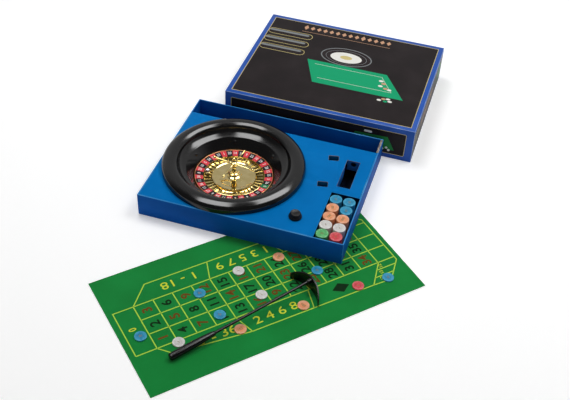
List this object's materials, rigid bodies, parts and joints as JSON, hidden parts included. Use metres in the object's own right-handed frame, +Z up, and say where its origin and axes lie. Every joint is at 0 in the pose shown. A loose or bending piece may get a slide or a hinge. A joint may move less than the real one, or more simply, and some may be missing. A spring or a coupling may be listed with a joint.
{
  "type": "roulette set case",
  "caption": "Boxed home roulette set: case base with wheel, ball, marker and chip stacks in a folded insert, lid behind it, layout mat with rake and chips in front.",
  "frame": {"origin": "middle of the whole set outline, on the table under mat and lid", "axes": "+X to the right along the case front, +Y from the front of the case to the back where the lid lies, +Z up"},
  "size_m": [0.5426, 1.0078, 0.0757],
  "materials": {
    "case_board": "matt printed paper over grey board",
    "insert_board": "matt coloured board",
    "black_moulding": "glossy black polystyrene",
    "steel_pin": "bright",
    "nylon": "natural",
    "printed_ring": "red and black sectors with plain white numbers",
    "ring_trim": "metallised trim",
    "gold_plated": "gold metallised plastic",
    "ball_steel": "polished",
    "lid_print": "glossy printed paper over grey board",
    "mat_felt": "green felt with printed layout",
    "rake_black": "semi-gloss black",
    "chip_green": "moulded",
    "chip_white": "moulded",
    "chip_orange": "moulded",
    "chip_blue": "moulded",
    "chip_red": "moulded"
  },
  "bodies": {
    "case": {"case_base": "case_board"},
    "insert": {"insert": "insert_board", "well_flap": "insert_board"},
    "wheel": {"wheel_bowl": "black_moulding", "ball_stops": "black_moulding", "spindle": "steel_pin", "thrust_washer": "nylon"},
    "rotor": {"rotor_bush": "nylon", "rotor_disc": "gold_plated", "pocket_frets": "gold_plated", "number_ring": "printed_ring", "ring_trim": "ring_trim", "turret_base": "gold_plated", "turret_column": "gold_plated", "turret_hub": "gold_plated", "turret_arms": "gold_plated", "turret_knobs": "gold_plated", "turret_finial": "gold_plated"},
    "ball": {"ball": "ball_steel"},
    "marker": {"marker": "black_moulding"},
    "lid": {"lid": "lid_print"},
    "mat": {"mat": "mat_felt"},
    "rake": {"rake_grip": "rake_black", "rake_shaft": "rake_black", "rake_blade": "rake_black"},
    "stack_1": {"stack_1": "chip_green"},
    "stack_2": {"stack_2": "chip_white"},
    "stack_3": {"stack_3": "chip_orange"},
    "stack_4": {"stack_4": "chip_orange"},
    "stack_5": {"stack_5": "chip_blue"},
    "stack_6": {"stack_6": "chip_red"},
    "stack_7": {"stack_7": "chip_white"},
    "stack_8": {"stack_8": "chip_orange"},
    "stack_9": {"stack_9": "chip_blue"},
    "stack_10": {"stack_10": "chip_blue"},
    "chip_1": {"chip_1": "chip_orange"},
    "chip_2": {"chip_2": "chip_white"},
    "chip_3": {"chip_3": "chip_blue"},
    "chip_4": {"chip_4": "chip_blue"},
    "chip_5": {"chip_5": "chip_white"},
    "chip_6": {"chip_6": "chip_red"},
    "chip_7": {"chip_7": "chip_orange"},
    "chip_8": {"chip_8": "chip_blue"},
    "chip_9": {"chip_9": "chip_orange"},
    "chip_10": {"chip_10": "chip_blue"},
    "chip_11": {"chip_11": "chip_white"},
    "chip_12": {"chip_12": "chip_blue"}
  },
  "joints": [
    {"name": "insert_lift", "type": "slide", "parent": "case", "child": "insert", "axis": [0, 0, 1], "range_m": [0, 0.06]},
    {"name": "wheel_lift", "type": "slide", "parent": "insert", "child": "wheel", "axis": [0, 0, 1], "range_m": [0, 0.06]},
    {"name": "rotor_spin", "type": "hinge", "parent": "wheel", "child": "rotor", "pos_m": [-0.1256, 0.00082, 0.031], "axis": [0, 0, 1], "continuous": true},
    {"name": "ball_lift", "type": "slide", "parent": "rotor", "child": "ball", "axis": [0, 0, 1], "range_m": [0, 0.05]},
    {"name": "marker_lift", "type": "slide", "parent": "insert", "child": "marker", "axis": [0, 0, 1], "range_m": [0, 0.05]},
    {"name": "lid_lift", "type": "slide", "parent": "case", "child": "lid", "axis": [0, 0, 1], "range_m": [0, 0.1]},
    {"name": "mat_slide", "type": "slide", "parent": "case", "child": "mat", "axis": [0.7254, -0.6884, 0], "range_m": [0, 0.12]},
    {"name": "rake_lift", "type": "slide", "parent": "mat", "child": "rake", "axis": [0, 0, 1], "range_m": [0, 0.05]},
    {"name": "stack_1_lift", "type": "slide", "parent": "case", "child": "stack_1", "axis": [0, 0, 1], "range_m": [0, 0.05]},
    {"name": "stack_2_lift", "type": "slide", "parent": "case", "child": "stack_2", "axis": [0, 0, 1], "range_m": [0, 0.05]},
    {"name": "stack_3_lift", "type": "slide", "parent": "case", "child": "stack_3", "axis": [0, 0, 1], "range_m": [0, 0.05]},
    {"name": "stack_4_lift", "type": "slide", "parent": "case", "child": "stack_4", "axis": [0, 0, 1], "range_m": [0, 0.05]},
    {"name": "stack_5_lift", "type": "slide", "parent": "case", "child": "stack_5", "axis": [0, 0, 1], "range_m": [0, 0.05]},
    {"name": "stack_6_lift", "type": "slide", "parent": "case", "child": "stack_6", "axis": [0, 0, 1], "range_m": [0, 0.05]},
    {"name": "stack_7_lift", "type": "slide", "parent": "case", "child": "stack_7", "axis": [0, 0, 1], "range_m": [0, 0.05]},
    {"name": "stack_8_lift", "type": "slide", "parent": "case", "child": "stack_8", "axis": [0, 0, 1], "range_m": [0, 0.05]},
    {"name": "stack_9_lift", "type": "slide", "parent": "case", "child": "stack_9", "axis": [0, 0, 1], "range_m": [0, 0.05]},
    {"name": "stack_10_lift", "type": "slide", "parent": "case", "child": "stack_10", "axis": [0, 0, 1], "range_m": [0, 0.05]},
    {"name": "chip_1_lift", "type": "slide", "parent": "mat", "child": "chip_1", "axis": [0, 0, 1], "range_m": [0, 0.03]},
    {"name": "chip_2_lift", "type": "slide", "parent": "mat", "child": "chip_2", "axis": [0, 0, 1], "range_m": [0, 0.03]},
    {"name": "chip_3_lift", "type": "slide", "parent": "mat", "child": "chip_3", "axis": [0, 0, 1], "range_m": [0, 0.03]},
    {"name": "chip_4_lift", "type": "slide", "parent": "mat", "child": "chip_4", "axis": [0, 0, 1], "range_m": [0, 0.03]},
    {"name": "chip_5_lift", "type": "slide", "parent": "mat", "child": "chip_5", "axis": [0, 0, 1], "range_m": [0, 0.03]},
    {"name": "chip_6_lift", "type": "slide", "parent": "mat", "child": "chip_6", "axis": [0, 0, 1], "range_m": [0, 0.03]},
    {"name": "chip_7_lift", "type": "slide", "parent": "mat", "child": "chip_7", "axis": [0, 0, 1], "range_m": [0, 0.03]},
    {"name": "chip_8_lift", "type": "slide", "parent": "mat", "child": "chip_8", "axis": [0, 0, 1], "range_m": [0, 0.03]},
    {"name": "chip_9_slide", "type": "slide", "parent": "mat", "child": "chip_9", "axis": [0.7254, -0.6884, 0], "range_m": [0, 0.04]},
    {"name": "chip_10_lift", "type": "slide", "parent": "mat", "child": "chip_10", "axis": [0, 0, 1], "range_m": [0, 0.03]},
    {"name": "chip_11_lift", "type": "slide", "parent": "mat", "child": "chip_11", "axis": [0, 0, 1], "range_m": [0, 0.03]},
    {"name": "chip_12_lift", "type": "slide", "parent": "mat", "child": "chip_12", "axis": [0, 0, 1], "range_m": [0, 0.03]}
  ]
}
